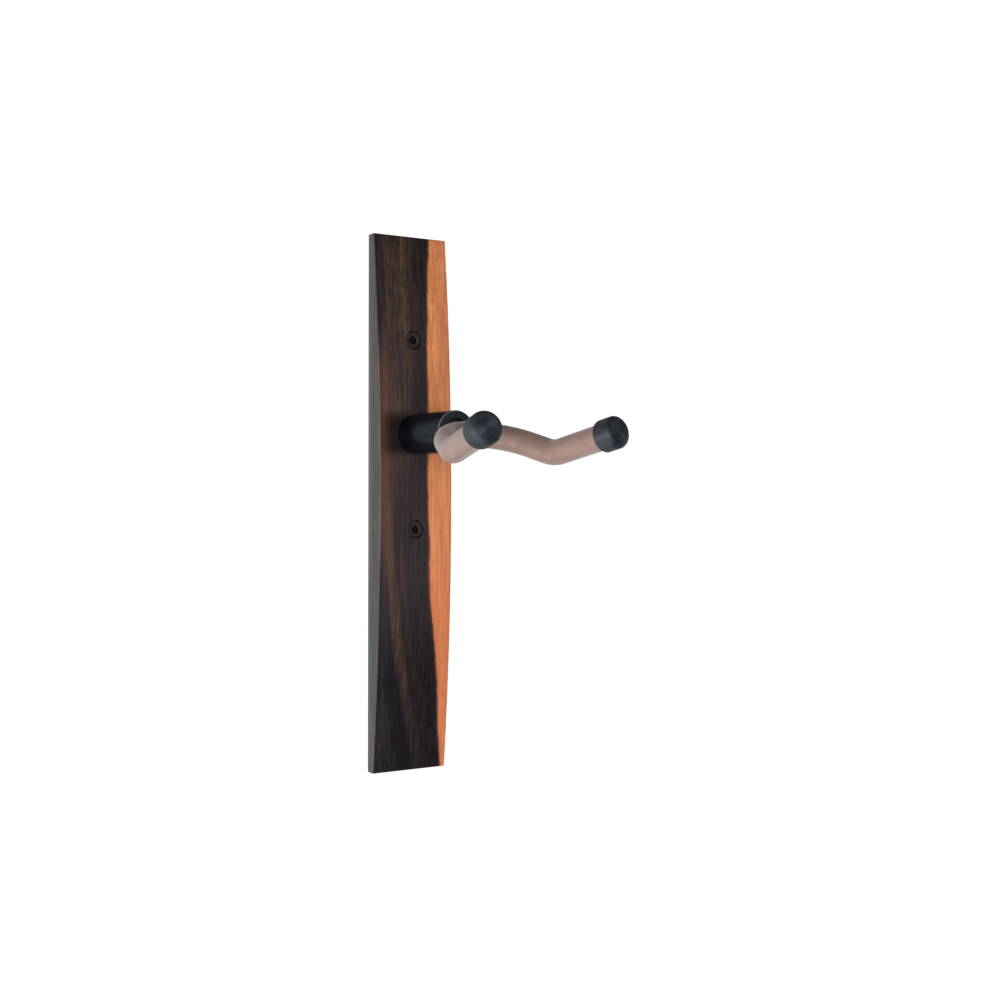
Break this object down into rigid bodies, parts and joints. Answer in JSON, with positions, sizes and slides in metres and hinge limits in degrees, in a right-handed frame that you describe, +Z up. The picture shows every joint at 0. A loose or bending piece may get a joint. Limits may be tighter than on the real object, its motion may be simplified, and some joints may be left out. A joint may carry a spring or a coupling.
{
  "type": "wall guitar hanger",
  "caption": "Wall-mounted guitar hanger: a crowned wooden back plate, a round standoff and a swivelling padded yoke with rubber-capped arms that cradle the neck.",
  "frame": {"origin": "centre of the back plate's rear face, which lies on the wall", "axes": "+X to the right as one faces the wall, +Y into the wall, +Z up; the yoke reaches out along -Y"},
  "size_m": [0.0914, 0.1916, 0.3],
  "materials": {
    "wood": "satin oiled two-tone hardwood: near-black heartwood with an orange sapwood edge",
    "black_metal": "satin black coating",
    "steel": "zinc plated",
    "dark_screw": "dark browned steel, satin",
    "nylon": "black nylon",
    "white_nylon": "natural nylon",
    "sleeve": "matt taupe soft covering",
    "cap": "charcoal moulded rubber"
  },
  "bodies": {
    "base": {"backplate": "wood", "upper_wall_screw": "dark_screw", "lower_wall_screw": "dark_screw", "standoff_tube": "black_metal", "upper_locating_pin": "steel", "lower_locating_pin": "steel", "base_plug": "steel", "mounting_washer": "steel", "mounting_bolt": "dark_screw", "front_bush": "nylon", "rear_bush": "nylon"},
    "yoke": {"spindle": "steel", "thrust_washer": "nylon", "spring_washer": "steel", "spindle_washer": "steel", "lock_nut": "steel", "lock_nut_insert": "white_nylon", "hub": "black_metal", "yoke_rod": "steel", "left_sleeve": "sleeve", "right_sleeve": "sleeve", "left_end_cap": "cap", "right_end_cap": "cap"}
  },
  "joints": [
    {"name": "yoke_swivel", "type": "hinge", "parent": "base", "child": "yoke", "pos_m": [0, -0.059, 0.0385], "axis": [0, -1, 0], "continuous": true}
  ]
}
